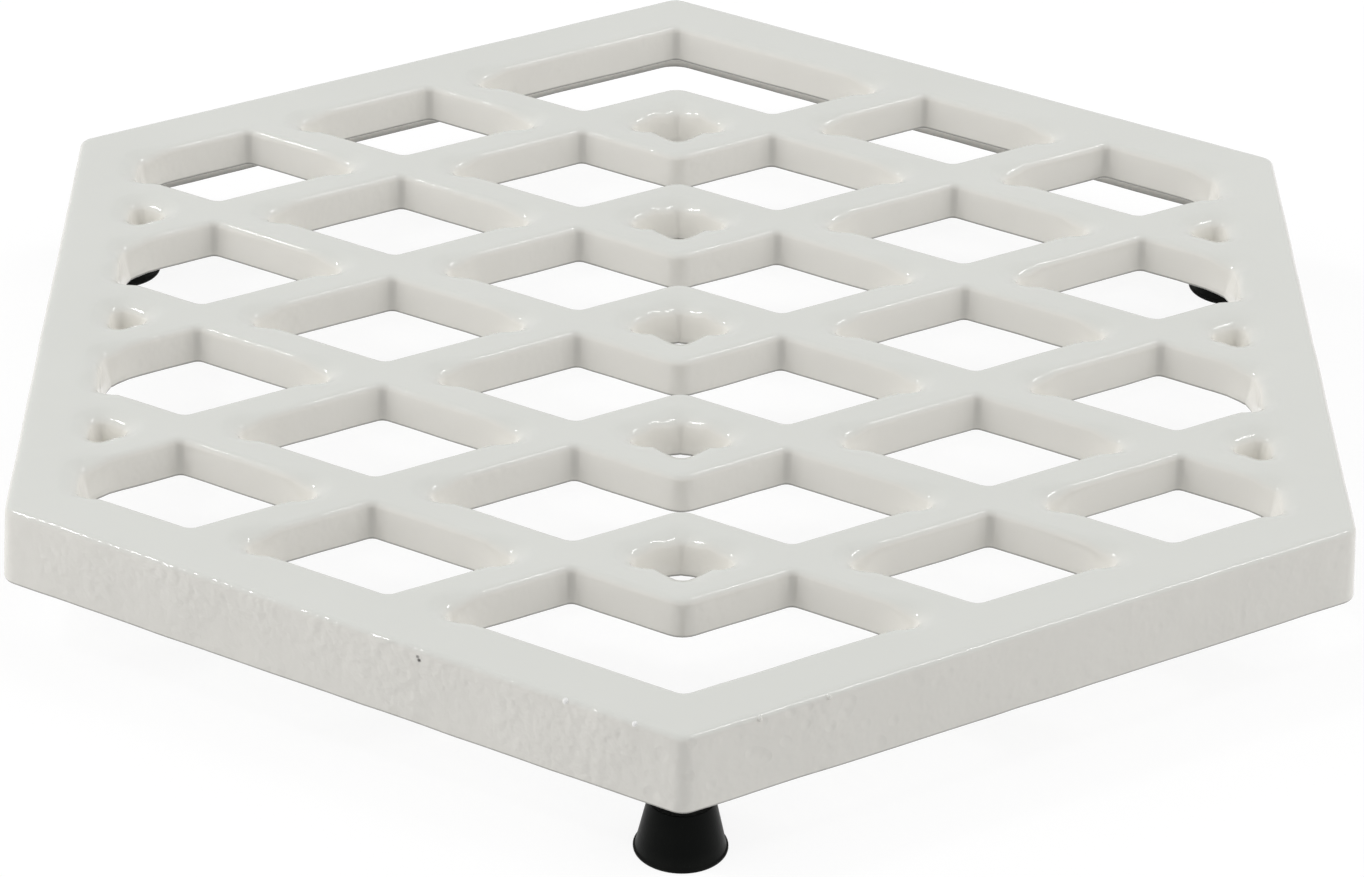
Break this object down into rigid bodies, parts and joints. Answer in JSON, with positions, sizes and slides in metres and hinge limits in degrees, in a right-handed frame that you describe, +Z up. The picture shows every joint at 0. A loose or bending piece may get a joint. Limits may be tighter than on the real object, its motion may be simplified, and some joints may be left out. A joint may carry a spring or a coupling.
{
  "type": "trivet",
  "caption": "Hexagonal enamelled cast-iron trivet: a flat lattice of rhombic openings inside a deep rim, on rubber feet that hold a hot pot clear of the table.",
  "frame": {"origin": "on the table plane that the feet stand on, under the centre of the hexagon", "axes": "+Z up; +Y from the corner over the front foot to the opposite corner, the longest extent; +X to the right, towards a flat side"},
  "size_m": [0.1724, 0.2006, 0.0196],
  "materials": {
    "enamelled_iron": "off-white glossy vitreous enamel fused over sand-cast iron, softly rounded edges, faint orange peel on the outer wall",
    "rubber_feet": "moulded black rubber with a satin skin"
  },
  "bodies": {
    "root": {"cast_body": "enamelled_iron", "front_foot": "rubber_feet", "left_rear_foot": "rubber_feet", "right_rear_foot": "rubber_feet"}
  },
  "joints": []
}
